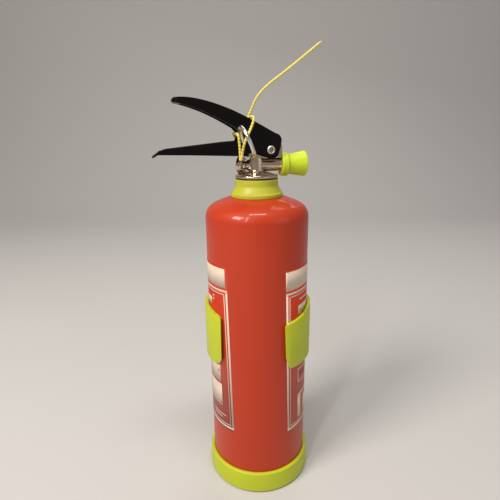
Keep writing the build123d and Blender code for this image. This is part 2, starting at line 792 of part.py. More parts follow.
with BuildPart() as clip_bracket:
    with BuildSketch(Plane.XY.offset(clip_bottom)):
        Circle(clip_out)
    extrude(amount=clip_top - clip_bottom)
    with BuildSketch(facing(clip_turn, clip_out - 2.0)):
        with Locations((0, clip_mid)):
            Rectangle(plate_w * 0.6, clip_top - clip_bottom)
    extrude(amount=2.0 + plate_stand_off)
    with BuildSketch(facing(clip_turn, plate_at)):
        with Locations((0, clip_mid)):
            RectangleRounded(plate_w, plate_h, 5.0)
    extrude(amount=plate_t)
    with BuildSketch(Plane.XY):
        Circle(clip_in)
    extrude(amount=2 * clip_top, mode=Mode.SUBTRACT)
    # The open front: both ends are cut to their own slanting outline.
    with BuildSketch(facing(clip_turn + 180, 0)):
        with BuildLine():
            Polyline(
                (-36.5, clip_bottom - 1.0),
                (-33.0, clip_bottom + 0.6),
                (-28.2, clip_bottom + 3.4),
                (-26.8, clip_bottom + 6.8),
                (-26.2, clip_top - 3.8),
                (-27.4, clip_top - 2.4),
                (-33.0, clip_top - 1.0),
                (-39.0, clip_top + 0.6),
                (-39.0, clip_top + 1.0),
                (44.0, clip_top + 1.0),
                (39.7, clip_top - 3.6),
                (34.0, clip_top - 5.4),
                (28.5, clip_top - 6.5),
                (26.6, clip_top - 7.2),
                (25.7, clip_top - 8.9),
                (26.6, clip_mid - 12.0),
                (29.6, clip_bottom + 1.5),
                (31.5, clip_bottom - 1.0),
                close=True,
            )
        make_face()
    extrude(amount=2 * body_r, mode=Mode.SUBTRACT)
    with BuildSketch(facing(clip_turn, plate_at)):
        with Locations((0, clip_mid - plate_h / 2 + screw_inset), (0, clip_mid + plate_h / 2 - screw_inset)):
            Circle(screw_r)
    extrude(amount=plate_t, mode=Mode.SUBTRACT)
save(clip_bracket, "clip_bracket")

# ---------------------------------------------------------------- tamper tie

lock_mid = (-5.6, lever_half + lock_stand_off, flange_z + lock_up)
lock_top = lock_mid[2] + lock_size[2] / 2
strand_y = lock_mid[1] + strand_apart / 2 - 0.2
rise_y = strand_y - strand_apart
near_y = -(lever_half + tie_stand_off)


def tie_point(x, y, up):
    """Point on the tie: up is the height above the flange's lower face."""
    return (x, y, flange_z + up)


tie_points = [
    (-4.6, rise_y, lock_top),
    tie_point(-4.6, rise_y, 45.7),
    tie_point(-4.1, 0.0, 46.6),
    tie_point(-3.7, near_y, 45.4),
    tie_point(-7.0, near_y - 1.7, 37.3),
    tie_point(-12.7, near_y - 7.6, 29.4),
    tie_point(-14.1, near_y - 3.1, 20.6),
    tie_point(-14.8, near_y - 2.9, 14.5),
    tie_point(-15.3, near_y + 0.3, 14.5),
    tie_point(-15.1, near_y + 0.4, 20.0),
    tie_point(-15.7, near_y + 0.1, 27.2),
    tie_point(-16.5, near_y, 33.9),
    tie_point(-17.1, 0.0, 33.7),
    tie_point(-16.7, lever_half + 2.4, 34.0),
    tie_point(-12.2, strand_y - 0.2, 27.9),
    tie_point(lock_mid[0], strand_y, 28.3),
    tie_point(lock_mid[0], strand_y, 42.2),
    tie_point(-2.0, strand_y - 0.6, 49.3),
    tie_point(3.0, strand_y - 1.1, 61.6),
    tie_point(12.0, strand_y - 1.5, 70.5),
    tie_point(25.0, strand_y - 1.6, 79.7),
    tie_point(40.0, strand_y - 1.5, 90.7),
    tie_point(56.8, strand_y - 1.6, 103.7),
]


def bend_radius(before, at, after):
    """Radius whose arc takes up 0.45 of the shorter run beside a corner."""
    run_in = Vector(*at) - Vector(*before)
    run_out = Vector(*after) - Vector(*at)
    turn = radians(run_in.get_angle(run_out))
    return 0.45 * min(run_in.length, run_out.length) / tan(turn / 2)


tie_radii = [bend_radius(*tie_points[i : i + 3]) for i in range(len(tie_points) - 2)]
print("tie bend radii", [round(r, 1) for r in tie_radii])

with BuildPart() as tamper_tie:
    with BuildLine() as tie_line:
        FilletPolyline(*tie_points, radius=tie_radii)
    with BuildSketch(Plane(origin=tie_line.line @ 0, z_dir=tie_line.line % 0)):
        Circle(tie_d / 2)
    sweep(path=tie_line.line)
tie_length = tie_line.wires()[0].length
print("tie length", round(tie_length, 1))
print("tie volume over section x length", round(tamper_tie.part.volume / (tie_length * pi * tie_d**2 / 4), 4))
save(tamper_tie, "tamper_tie")

with BuildPart() as tie_lock:
    with BuildSketch(Plane.XY.offset(lock_top - lock_size[2])):
        with Locations((lock_mid[0], lock_mid[1])):
            RectangleRounded(lock_size[0], lock_size[1], 0.8)
    extrude(amount=lock_size[2])
    with BuildSketch(Plane.XY.offset(lock_top - lock_size[2])):
        with Locations((lock_mid[0], strand_y)):
            Circle(tie_d / 2 + run_gap)
    extrude(amount=lock_size[2], mode=Mode.SUBTRACT)
save(tie_lock, "tie_lock")

print("stem tip centre", round(tip_z, 3), "flange", round(flange_z, 3), "seat", round(seat_z, 3))
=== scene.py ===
import bpy, bmesh
from math import atan2, cos, degrees, pi, radians, sin, sqrt, tan
from mathutils import Matrix, Vector


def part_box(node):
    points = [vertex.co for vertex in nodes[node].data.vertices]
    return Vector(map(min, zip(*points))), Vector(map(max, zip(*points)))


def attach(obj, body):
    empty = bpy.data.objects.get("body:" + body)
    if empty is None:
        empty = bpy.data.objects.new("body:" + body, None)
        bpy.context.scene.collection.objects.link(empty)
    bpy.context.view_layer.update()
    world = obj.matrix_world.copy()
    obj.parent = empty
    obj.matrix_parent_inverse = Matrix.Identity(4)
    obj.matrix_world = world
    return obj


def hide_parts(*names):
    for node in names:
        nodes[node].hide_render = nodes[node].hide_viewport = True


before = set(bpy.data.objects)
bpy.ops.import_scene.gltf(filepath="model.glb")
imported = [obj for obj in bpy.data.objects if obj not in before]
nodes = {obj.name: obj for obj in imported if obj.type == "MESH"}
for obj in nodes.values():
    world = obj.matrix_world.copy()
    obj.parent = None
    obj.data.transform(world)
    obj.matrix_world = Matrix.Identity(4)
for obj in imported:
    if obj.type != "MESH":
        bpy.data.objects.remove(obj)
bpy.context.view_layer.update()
MM = 0.001
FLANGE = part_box("neck_gasket")[1].z / MM
OUTLET = FLANGE + 9.6
GAUGE = FLANGE + 9.3
GAUGE_TURN = 145.0
PIVOT = Vector((9.8, 0, FLANGE + 21.4))

# ------------------------------------------------------------------ camera

heading, pitch, roll = radians(11.96), radians(16.07), radians(0.72)
CAMERA_AT = (-0.0757, -0.3280, 0.3073)
forward = Vector((sin(heading) * cos(pitch), cos(heading) * cos(pitch), -sin(pitch)))
level = Vector((cos(heading), -sin(heading), 0))
down = forward.cross(level)
right = cos(roll) * level + sin(roll) * down
up = sin(roll) * level - cos(roll) * down
camera = bpy.data.objects.new("camera", bpy.data.cameras.new("camera"))
camera.matrix_world = Matrix((
    (right.x, up.x, -forward.x, CAMERA_AT[0]),
    (right.y, up.y, -forward.y, CAMERA_AT[1]),
    (right.z, up.z, -forward.z, CAMERA_AT[2]),
    (0, 0, 0, 1)))
camera.data.sensor_width = 36
camera.data.lens = 29.69
camera.data.clip_start = 0.01
bpy.context.scene.collection.objects.link(camera)
bpy.context.scene.camera = camera

# ------------------------------------------------------------------ materials


def shader(name, base, rough=0.4, metal=0.0, coat=0.0, shade=0.85, spread=0.12, scale=90.0, bump=0.03,
           bump_scale=700.0, sss=0.0, glow=(1, 1, 1), wear=None, wear_width=0.0006, stretch=(1, 1, 1),
           transmission=0.0, spec=0.5, coat_rough=0.08):
    """Principled material whose colour, roughness and bump vary in space; wear brightens the edges."""
    m = bpy.data.materials.new(name)
    m.use_nodes = True
    n, l = m.node_tree.nodes, m.node_tree.links
    p = n["Principled BSDF"]
    at = n.new("ShaderNodeTexCoord")
    mapping = n.new("ShaderNodeMapping")
    mapping.inputs["Scale"].default_value = stretch
    l.new(at.outputs["Object"], mapping.inputs["Vector"])
    big = n.new("ShaderNodeTexNoise")
    big.inputs["Scale"].default_value = scale
    big.inputs["Detail"].default_value = 5
    l.new(mapping.outputs["Vector"], big.inputs["Vector"])
    fine = n.new("ShaderNodeTexNoise")
    fine.inputs["Scale"].default_value = bump_scale
    fine.inputs["Detail"].default_value = 3
    l.new(mapping.outputs["Vector"], fine.inputs["Vector"])
    mix = n.new("ShaderNodeMix")
    mix.data_type = "RGBA"
    mix.inputs["A"].default_value = (*[c * shade for c in base], 1)
    mix.inputs["B"].default_value = (*base, 1)
    l.new(big.outputs["Fac"], mix.inputs["Factor"])
    colour = mix.outputs["Result"]
    span = n.new("ShaderNodeMapRange")
    span.inputs["From Min"].default_value = 0.3
    span.inputs["From Max"].default_value = 0.7
    span.inputs["To Min"].default_value = rough * (1 - spread)
    span.inputs["To Max"].default_value = rough * (1 + spread) + spread * 0.05
    l.new(big.outputs["Fac"], span.inputs["Value"])
    roughness = span.outputs["Result"]
    if wear:
        edge = n.new("ShaderNodeBevel")
        edge.samples = 4
        edge.inputs["Radius"].default_value = wear_width
        geo = n.new("ShaderNodeNewGeometry")
        dot = n.new("ShaderNodeVectorMath")
        dot.operation = "DOT_PRODUCT"
        l.new(edge.outputs["Normal"], dot.inputs[0])
        l.new(geo.outputs["Normal"], dot.inputs[1])
        worn = n.new("ShaderNodeMapRange")
        worn.inputs["From Min"].default_value = 0.995
        worn.inputs["From Max"].default_value = 0.90
        l.new(dot.outputs["Value"], worn.inputs["Value"])
        patchy = n.new("ShaderNodeMath")
        patchy.operation = "MULTIPLY"
        l.new(worn.outputs["Result"], patchy.inputs[0])
        gate = n.new("ShaderNodeMapRange")
        gate.inputs["From Min"].default_value = 0.50
        gate.inputs["From Max"].default_value = 0.62
        l.new(fine.outputs["Fac"], gate.inputs["Value"])
        l.new(gate.outputs["Result"], patchy.inputs[1])
        over = n.new("ShaderNodeMix")
        over.data_type = "RGBA"
        l.new(patchy.outputs["Value"], over.inputs["Factor"])
        l.new(colour, over.inputs["A"])
        over.inputs["B"].default_value = (*wear, 1)
        colour = over.outputs["Result"]
    l.new(colour, p.inputs["Base Color"])
    l.new(roughness, p.inputs["Roughness"])
    relief = n.new("ShaderNodeBump")
    relief.inputs["Strength"].default_value = bump
    relief.inputs["Distance"].default_value = 0.0004
    l.new(fine.outputs["Fac"], relief.inputs["Height"])
    l.new(relief.outputs["Normal"], p.inputs["Normal"])
    p.inputs["Metallic"].default_value = metal
    p.inputs["Coat Weight"].default_value = coat
    p.inputs["Coat Roughness"].default_value = coat_rough
    p.inputs["Specular IOR Level"].default_value = spec
    if sss:
        p.inputs["Subsurface Weight"].default_value = sss
        p.inputs["Subsurface Radius"].default_value = glow
        p.inputs["Subsurface Scale"].default_value = 0.004
    if transmission:
        p.inputs["Transmission Weight"].default_value = transmission
    return m


def srgb(text):
    """Linear colour from an sRGB hex code."""
    out = []
    for i in (0, 2, 4):
        v = int(text[i:i + 2], 16) / 255
        out.append(v / 12.92 if v <= 0.04045 else ((v + 0.055) / 1.055) ** 2.4)
    return tuple(out)


RED = shader("red_paint", srgb("B43414"), rough=0.42, coat=0.30, shade=0.90, scale=22, bump=0.05, bump_scale=420,
             coat_rough=0.07, spec=0.22)
FILM = shader("print_film", srgb("B43414"), rough=0.40, coat=0.28, shade=0.93, scale=30, bump=0.02, bump_scale=600,
              coat_rough=0.08, spec=0.22)
PRINT = shader("white_print", srgb("D2BFAE"), rough=0.45, shade=0.94, scale=60, bump=0.02, bump_scale=900, spec=0.25)
LIME = shader("lime_plastic", srgb("B9C226"), rough=0.46, shade=0.90, scale=45, bump=0.05, bump_scale=520, sss=0.2,
              glow=(0.9, 1.0, 0.2), spec=0.35)
LIME_BRIGHT = shader("lime_nozzle", srgb("C0D02E"), rough=0.50, shade=0.93, scale=80, bump=0.04, bump_scale=600,
                     sss=0.5, glow=(0.9, 1.0, 0.2), spec=0.3)
COLLAR = shader("lime_collar", srgb("B4B432"), rough=0.42, shade=0.90, scale=70, bump=0.04, bump_scale=600, sss=0.2,
                glow=(0.9, 1.0, 0.2), spec=0.35)
# The chrome's brownish base colour is painted reflection: it stands in for the red bottle and black lever mirrored in
# the plating, since real chrome is neutral.
CHROME = shader("chrome_plate", (0.66, 0.54, 0.42), rough=0.17, metal=1, shade=0.82, spread=0.35, scale=140,
                bump=0.05, bump_scale=900, wear=(0.50, 0.36, 0.22), wear_width=0.0004)
BLACK = shader("black_enamel", (0.0030, 0.0013, 0.0015), rough=0.30, coat=0.12, shade=0.7, spread=0.3, scale=60,
               bump=0.07, bump_scale=380, wear=(0.030, 0.026, 0.025), wear_width=0.0005, coat_rough=0.10, spec=0.12)
STEEL = shader("zinc_steel", (0.60, 0.58, 0.54), rough=0.42, metal=1, shade=0.8, spread=0.35, scale=160, bump=0.08,
               bump_scale=900)
WIRE = shader("pin_wire", (0.74, 0.70, 0.64), rough=0.20, metal=1, shade=0.85, spread=0.4, scale=200, bump=0.07,
              bump_scale=1100, stretch=(1, 1, 0.4))
BRASS = shader("raw_brass", (0.72, 0.50, 0.22), rough=0.28, metal=1, scale=160, bump=0.05, bump_scale=900)
RUBBER = shader("black_rubber", (0.014, 0.013, 0.013), rough=0.62, scale=160, bump=0.12, bump_scale=1200)
WHITE = shader("white_plastic", (0.74, 0.74, 0.70), rough=0.45, scale=80, bump=0.04, bump_scale=700, sss=0.1)
YELLOW = shader("yellow_nylon", srgb("E0CC62"), rough=0.36, shade=0.84, scale=240, bump=0.10, bump_scale=900, sss=0.3,
                glow=(1.0, 0.85, 0.4))
POWDER = shader("powder", (0.62, 0.68, 0.74), rough=0.9, scale=200, bump=0.4, bump_scale=1500)
GLASS = shader("clear_lens", (0.95, 0.97, 0.97), rough=0.04, scale=60, bump=0.01, bump_scale=300, transmission=1.0)
GREEN = shader("dial_green", srgb("3F9A4A"), rough=0.5, scale=200, bump=0.02)
DIAL_RED = shader("dial_red", srgb("C23A2A"), rough=0.5, scale=200, bump=0.02)
DARK = shader("dial_black", (0.02, 0.02, 0.02), rough=0.5, scale=200, bump=0.02)

# ------------------------------------------------------------------ mesh helpers


def piece(name, verts, faces, body, mat, sharp=38, weld=True):
    """Object from millimetre vertices, smooth apart from its sharp edges, riding on a body."""
    me = bpy.data.meshes.new(name)
    me.from_pydata([Vector(v) * MM for v in verts], [], faces)
    bm = bmesh.new()
    bm.from_mesh(me)
    if weld:
        bmesh.ops.remove_doubles(bm, verts=bm.verts, dist=1e-6)
    bmesh.ops.recalc_face_normals(bm, faces=bm.faces)
    bm.to_mesh(me)
    bm.free()
    me.shade_smooth()
    me.set_sharp_from_angle(angle=radians(sharp))
    me.materials.append(mat)
    o = bpy.data.objects.new(name, me)
    bpy.context.scene.collection.objects.link(o)
    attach(o, body)
    return o


def round_off(points, radii, steps=5, closed=True):
    """Outline with its corners rounded; radii has one value per corner."""
    out = []
    count = len(points)
    for i, p in enumerate(points):
        r = radii[i] if isinstance(radii, (list, tuple)) else radii
        if r <= 0 or (not closed and i in (0, count - 1)):
            out.append(tuple(p))
            continue
        here = Vector(p)
        a = Vector(points[i - 1]) - here
        b = Vector(points[(i + 1) % count]) - here
        half = a.angle(b) / 2
        if half > pi / 2 - 0.02:
            out.append(tuple(p))
            continue
        trim = min(r / tan(half), 0.48 * a.length, 0.48 * b.length)
        r = trim * tan(half)
        centre = here + (a.normalized() + b.normalized()).normalized() * (r / sin(half))
        start = here + a.normalized() * trim - centre
        end = here + b.normalized() * trim - centre
        for k in range(steps + 1):
            v = start.lerp(end, k / steps).normalized() * r
            out.append(tuple(centre + v))
    return out


def lathe(name, profile, body, mat, place=None, segments=160, sweep=360.0, start=0.0, closed=True, sharp=38):
    """Turns a (radius, height) profile about the Z axis, then moves it by place."""
    place = place or Matrix.Identity(4)
    full = abs(sweep - 360.0) < 1e-6
    rings = segments if full else segments + 1
    verts, faces, n = [], [], len(profile)
    for k in range(rings):
        a = radians(start + sweep * k / segments)
        for r, z in profile:
            verts.append(place @ Vector((r * cos(a), r * sin(a), z)))
    for k in range(segments):
        k2 = (k + 1) % rings
        for i in range(n if closed else n - 1):
            j = (i + 1) % n
            faces.append((k * n + i, k2 * n + i, k2 * n + j, k * n + j))
    if not full and closed:
        faces.append(tuple(range(n)))
        faces.append(tuple(range((rings - 1) * n, rings * n)))
    return piece(name, verts, faces, body, mat, sharp)


def tube(name, path, radii, body, mat, segments=20, normal=(0, 0, 1)):
    """Round tube along a list of points, with a radius at each."""
    verts, faces = [], []
    side = Vector(normal)
    for i, p in enumerate(path):
        t = (Vector(path[min(i + 1, len(path) - 1)]) - Vector(path[max(i - 1, 0)])).normalized()
        side = (side - t * side.dot(t)).normalized()
        other = t.cross(side)
        for k in range(segments):
            a = 2 * pi * k / segments
            verts.append(Vector(p) + (side * cos(a) + other * sin(a)) * radii[i])
    for i in range(len(path) - 1):
        for k in range(segments):
            k2 = (k + 1) % segments
            faces.append((i * segments + k, i * segments + k2, (i + 1) * segments + k2, (i + 1) * segments + k))
    faces.append(tuple(range(segments)))
    faces.append(tuple(range((len(path) - 1) * segments, len(path) * segments)))
    return piece(name, verts, faces, body, mat, sharp=60)


def prism(name, outline, low, high, body, mat, bevel=0.0, axes="XZY", steps=3):
    """Outline in two axes, extruded between two values of the third, with rounded edges."""
    order = ["XYZ".index(c) for c in axes]
    verts = []
    for d in (low, high):
        for p in outline:
            v = [0, 0, 0]
            v[order[0]], v[order[1]], v[order[2]] = p[0], p[1], d
            verts.append(v)
    n = len(outline)
    faces = [tuple(range(n)), tuple(range(2 * n - 1, n - 1, -1))]
    faces += [(i, (i + 1) % n, n + (i + 1) % n, n + i) for i in range(n)]
    o = piece(name, verts, faces, body, mat, sharp=30)
    if bevel:
        b = o.modifiers.new("edge", "BEVEL")
        b.width = bevel * MM
        b.segments = steps
        b.limit_method = "ANGLE"
        b.angle_limit = radians(40)
    return o


def join(main, *others):
    """Merges other meshes, modifiers included, into main."""
    dg = bpy.context.evaluated_depsgraph_get()
    bm = bmesh.new()
    for o in (main, *others):
        bm.from_mesh(bpy.data.meshes.new_from_object(o.evaluated_get(dg)))
    main.modifiers.clear()
    bm.to_mesh(main.data)
    bm.free()
    for o in others:
        bpy.data.objects.remove(o)
    return main


def along(angle, height):
    """Places the lathe's Z axis level, at this angle from +X and this height."""
    a = radians(angle)
    x, y, z = Vector((-sin(a), cos(a), 0)), Vector((0, 0, 1)), Vector((cos(a), sin(a), 0))
    return Matrix(((x.x, y.x, z.x, 0), (x.y, y.y, z.y, 0), (x.z, y.z, z.z, height), (0, 0, 0, 1)))


# ------------------------------------------------------------------ the seal tie

LEVER_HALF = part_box("squeeze_lever")[1].y / MM
LOCK = (-5.6, LEVER_HALF + 4.0, FLANGE + 34.8)
LOCK_HALF = (2.6, 3.1, 3.2)
NEAR = -(LEVER_HALF + 1.9)
STRAND = LOCK[1] + 1.2
RISE = STRAND - 2.8
tie_route = [
    (-4.6, RISE, 38.0), (-4.6, RISE, 45.7), (-4.1, 0.0, 46.6), (-3.7, NEAR, 45.4), (-7.0, NEAR - 1.7, 37.3),
    (-12.7, NEAR - 7.6, 29.4), (-14.1, NEAR - 3.1, 20.6), (-14.8, NEAR - 2.9, 14.5), (-15.3, NEAR + 0.3, 14.5),
    (-15.1, NEAR + 0.4, 20.0), (-15.7, NEAR + 0.1, 27.2), (-16.5, NEAR, 33.9), (-17.1, 0.0, 33.7),
    (-16.7, LEVER_HALF + 2.4, 34.0), (-12.2, STRAND - 0.2, 27.9), (LOCK[0], STRAND, 28.3), (LOCK[0], STRAND, 42.2),
    (-2.0, STRAND - 0.6, 49.3), (3.0, STRAND - 1.1, 61.6), (12.0, STRAND - 1.5, 70.5), (25.0, STRAND - 1.6, 79.7),
    (40.0, STRAND - 1.5, 90.7), (56.8, STRAND - 1.6, 103.7)]
curve = bpy.data.curves.new("tie_line", "CURVE")
curve.dimensions = "3D"
curve.resolution_u = 16
spline = curve.splines.new("NURBS")
spline.points.add(len(tie_route) - 1)
for point, (x, y, z) in zip(spline.points, tie_route):
    point.co = (x * MM, y * MM, (z + FLANGE) * MM, 1)
spline.order_u = 3
spline.use_endpoint_u = True
line = bpy.data.objects.new("tie_line", curve)
bpy.context.scene.collection.objects.link(line)
bpy.context.view_layer.update()
walked = bpy.data.meshes.new_from_object(line.evaluated_get(bpy.context.evaluated_depsgraph_get()))
route = [v.co / MM for v in walked.vertices]
bpy.data.objects.remove(line)

reach = [0.0]
for a, b in zip(route, route[1:]):
    reach.append(reach[-1] + (b - a).length)
total = reach[-1]


def at_length(s):
    """Point on the tie's line at a length along it."""
    i = max(k for k, v in enumerate(reach) if v <= s + 1e-9)
    if i >= len(route) - 1:
        return route[-1]
    return route[i].lerp(route[i + 1], (s - reach[i]) / (reach[i + 1] - reach[i]))


# beads: their pitch and radius, how deep the waists are on the loop and the tail, and the thinned end
BEAD_PITCH, BEAD_R = 2.5, 1.10
LOOP_DEPTH, TAIL_DEPTH, LOOP_SHARE = 0.40, 0.28, 0.55
TIP_SHARE, TIP_LENGTH = 0.35, 5.0
RING_STEP = 0.25
count = int(total / RING_STEP)
tie_path, tie_radii = [], []
for k in range(count + 1):
    s = total * k / count
    wave = abs(sin(pi * s / BEAD_PITCH))
    depth = LOOP_DEPTH if s < total * LOOP_SHARE else TAIL_DEPTH
    r = BEAD_R - depth * (1 - wave) ** 1.5
    r *= min(1.0, TIP_SHARE + (total - s) / TIP_LENGTH)
    tie_path.append(at_length(s))
    tie_radii.append(r)
tie = tube("tie_cord", tie_path, tie_radii, "lever", YELLOW, segments=14, normal=(0, 0.2, 1))
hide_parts("tamper_tie")
lock_corners = [(LOCK[0] + i * LOCK_HALF[0], LOCK[1] + j * LOCK_HALF[1])
                for i, j in ((-1, -1), (1, -1), (1, 1), (-1, 1))]
lock = prism("tie_head", round_off(lock_corners, 1.1), LOCK[2] - LOCK_HALF[2], LOCK[2] + LOCK_HALF[2],
             "lever", YELLOW, bevel=0.5, axes="XYZ")
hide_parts("tie_lock")

# ------------------------------------------------------------------ bottle

R = 42.5
WALL = 1.2
KNUCKLE, CROWN, STRAIGHT = 12.0, 80.0, 240.0
CROWN_Z = STRAIGHT - sqrt((CROWN - KNUCKLE) ** 2 - (R - KNUCKLE) ** 2)
JOIN = atan2(STRAIGHT - CROWN_Z, R - KNUCKLE)
BOSS_R = 15.6


def arc(x, z, r, a0, a1, steps):
    return [(x + r * cos(a0 + (a1 - a0) * k / steps), z + r * sin(a0 + (a1 - a0) * k / steps)) for k in
            range(steps + 1)]


def dome(inset, steps):
    """The shoulder's line from the neck down to the straight wall."""
    crown = CROWN - inset
    top = atan2(sqrt(crown ** 2 - BOSS_R ** 2), BOSS_R)
    return arc(0, CROWN_Z, crown, top, JOIN, steps) + arc(R - KNUCKLE, STRAIGHT, KNUCKLE - inset, JOIN, 0, 10)[1:]


heights = [STRAIGHT - k * 13.0 for k in range(1, 18)]
outer = dome(0, 16) + [(R, z) for z in heights] + arc(R - 8, 10.6, 8, 0, -pi / 2, 8) + [(8, 2.6)]
inner = [(8, 3.8), (34.5, 3.8)] + arc(R - 8, 10.6, 6.8, -pi / 2, 0, 6)[1:] + list(reversed(dome(WALL, 10)))
shell = lathe("bottle", outer + inner, "cylinder", RED, segments=224)
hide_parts("cylinder_shell")

boot_line = round_off([(6, 0), (46.0, 0), (45.35, 19.5), (42.55, 19.5), (42.55, 8.0), (36.0, 2.6), (6, 2.6)],
                      [0, 2.6, 1.1, 0.3, 2.0, 2.0, 0], steps=7)
boot = lathe("boot", boot_line, "cylinder", LIME, segments=224)
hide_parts("base_boot")
lathe("boot_floor", [(0, 0.0), (6, 0.0), (6, 2.6), (0, 2.6)], "cylinder", LIME)

DOME = [(r, CROWN_Z + sqrt(CROWN ** 2 - r ** 2) + 0.05) for r in (15.8, 17.2, 18.6, 20.0, 21.2)]
TOP = FLANGE - 1.2
collar_line = round_off([(15.7, TOP)] + DOME + [(21.3, 259.4), (20.0, 260.3), (18.15, 263.6), (17.35, 265.4),
                        (17.3, TOP)], [0.2] + [0] * 4 + [0.3, 1.0, 1.1, 2.5, 2.0, 0.4], steps=5)
collar = lathe("collar", collar_line, "cylinder", COLLAR, segments=160)
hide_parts("neck_collar")
washer_line = round_off([(13.6, TOP), (16.9, TOP), (16.9, FLANGE), (13.6, FLANGE)], 0.3, steps=3)
washer = lathe("neck_washer", washer_line, "cylinder", RUBBER, segments=120)
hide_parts("neck_gasket")

# ------------------------------------------------------------------ printed film

SKEW = 4.7 / 128.7
FILM_RIGHT, FILM_LEFT = -71.2, 222.8
FILM_LIFT = 2.6
PRINT_Z = 187.0


def on_bottle(u, z, r):
    """Flat print position to the bottle: u is degrees round from +X at PRINT_Z, slanting as the film does."""
    a = radians(u + (PRINT_Z - z) * SKEW)
    lift = (u - FILM_RIGHT) / (FILM_LEFT - FILM_RIGHT) * FILM_LIFT
    return Vector((r * cos(a), r * sin(a), z + lift))


def printed(name, shapes, r, mat, step=2.5):
    """Flat outlines of (degrees, height) laid round the bottle at radius r."""
    bm = bmesh.new()
    for outline in shapes:
        bm.faces.new([bm.verts.new((u, z, 0)) for u, z in outline])
    low = min(u for s in shapes for u, z in s)
    high = max(u for s in shapes for u, z in s)
    cut = low + step
    while cut < high:
        bmesh.ops.bisect_plane(bm, geom=bm.verts[:] + bm.edges[:] + bm.faces[:], plane_co=(cut, 0, 0),
                               plane_no=(1, 0, 0))
        cut += step
    bm.verts.index_update()
    verts = [on_bottle(v.co.x, v.co.y, r) for v in bm.verts]
    faces = [[v.index for v in f.verts] for f in bm.faces]
    bm.free()
    o = piece(name, verts, faces, "cylinder", mat, sharp=50, weld=False)
    for f in o.data.polygons[:1]:
        if f.center.xy.dot(f.normal.xy) < 0:
            o.data.flip_normals()
    o.modifiers.new("film", "SOLIDIFY").thickness = 0.00006
    return o


def block(u0, u1, z0, z1):
    return [(u0, z0), (u1, z0), (u1, z1), (u0, z1)]


def border(u0, u1, z0, z1, w):
    """Four bars round a rectangle, w millimetres wide."""
    wu = degrees(w / R)
    return [block(u0, u1, z1 - w, z1), block(u0, u1, z0, z0 + w), block(u0, u0 + wu, z0 + w, z1 - w),
            block(u1 - wu, u1, z0 + w, z1 - w)]


def disc(u, z, r, steps=28):
    return [(u + degrees(r / R) * cos(2 * pi * k / steps), z + r * sin(2 * pi * k / steps)) for k in range(steps)]


def shape(u, z, points):
    """Outline in millimetres about a point of the film."""
    return [(u + degrees(x / R), z + y) for x, y in points]


def bars(u0, u1, z_top, rows, h=1.5, gap=3.2):
    """Plain rows, of uneven length, where a real film has small print."""
    ends = [1.0, 0.93, 0.98, 0.72, 0.95, 0.86, 1.0, 0.55]
    return [block(u0, u0 + (u1 - u0) * ends[k % 8], z_top - k * gap - h, z_top - k * gap) for k in range(rows)]


backing = printed("label_film", [block(FILM_RIGHT - 0.6, FILM_LEFT + 0.6, 53.5, 203.4)], R + 0.10, FILM)
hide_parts("wrap_label")
prints = [block(FILM_RIGHT, FILM_LEFT - 2.3, 186.3, 202.0)]
prints += border(FILM_RIGHT, FILM_LEFT, 55.5, 184.2, 1.9)
prints += border(FILM_RIGHT + 4.4, FILM_LEFT - 4.4, 58.8, 180.9, 0.75)
# left side, as seen from the front
prints += [block(179, 205.6, 98.8, 119.5), block(178, 206.6, 75.6, 96.8)]
prints += bars(186, 212, 67.5, 1, h=0.9) + bars(188, 205, 64.6, 1, h=0.9)
prints += [block(197.2, 200.4, 181.6 - 6.0, 183.0 - 6.0), block(196.4, 199.8, 178.8 - 6.0, 180.2 - 6.0)]
prints += [block(179, 194, 168.0, 174.0)]
# right side, as seen from the front
prints += [block(-52.5, -30.0, 163.0, 170.6)] + bars(-50, -30, 176.4, 1, h=1.3)
prints += border(-53.0, -26.5, 98.0, 111.5, 1.3)
prints += [block(-53.0, -27.0, 84.0, 86.5), block(-53.0, -46.0, 62.5, 84.0), block(-38.0, -28.5, 62.5, 80.0)]
# back
prints += bars(-18, 60, 172.0, 2, h=5.0, gap=8.0) + bars(86, 165, 172.0, 2, h=5.0, gap=8.0)
icons = [(-8, 74), (33, 74), (86, 74), (127, 74)]
for u, z in icons:
    prints += border(u - 15, u + 15, z - 1.0, z + 25.0, 1.1)
prints += bars(-22, 50, 117.0, 6, h=1.4, gap=3.1) + bars(72, 160, 117.0, 6, h=1.4, gap=3.1)
prints += bars(-22, 150, 69.0, 3, h=1.2, gap=2.8)
prints += [disc(-8, 88, 5.2), shape(-8, 88, [(4.6, -0.8), (9.4, -0.8), (9.4, 0.8), (4.6, 0.8)])]
prints += [shape(33, 86, [(-6, -6), (6, -6), (3.4, 1), (2.6, -1.4), (0.4, 8), (-2.2, -0.4), (-3.6, 2.4)])]
prints += [shape(86, 86, [(-8, -1.2), (2, -1.2), (2, -4.6), (8.5, 0.6), (2, 5.8), (2, 2.4), (-8, 2.4)])]
prints += [shape(127, 86, [(-3.4, -8), (3.4, -8), (3.4, 3), (1.4, 5.4), (1.4, 8.5), (-1.4, 8.5), (-1.4, 5.4),
                           (-3.4, 3)])]
printed("label_print", prints, R + 0.16, PRINT)
knocked = [disc(202.2, 109.0, 1.1), shape(203.6, 78.6, [(-0.9, -0.9), (1.2, -0.9), (1.2, 1.4)])]
knocked += [block(-48.0, -46.5, 164.0, 167.0), block(-44.0, -42.0, 163.0, 165.2)]
knocked += [block(-49.5, -41.0, 104.0, 106.0), disc(-36.5, 104.7, 2.4)]
knocked += [disc(-8, 88, 3.2)]
printed("label_marks", knocked, R + 0.22, FILM)

# ------------------------------------------------------------------ nozzle and valve

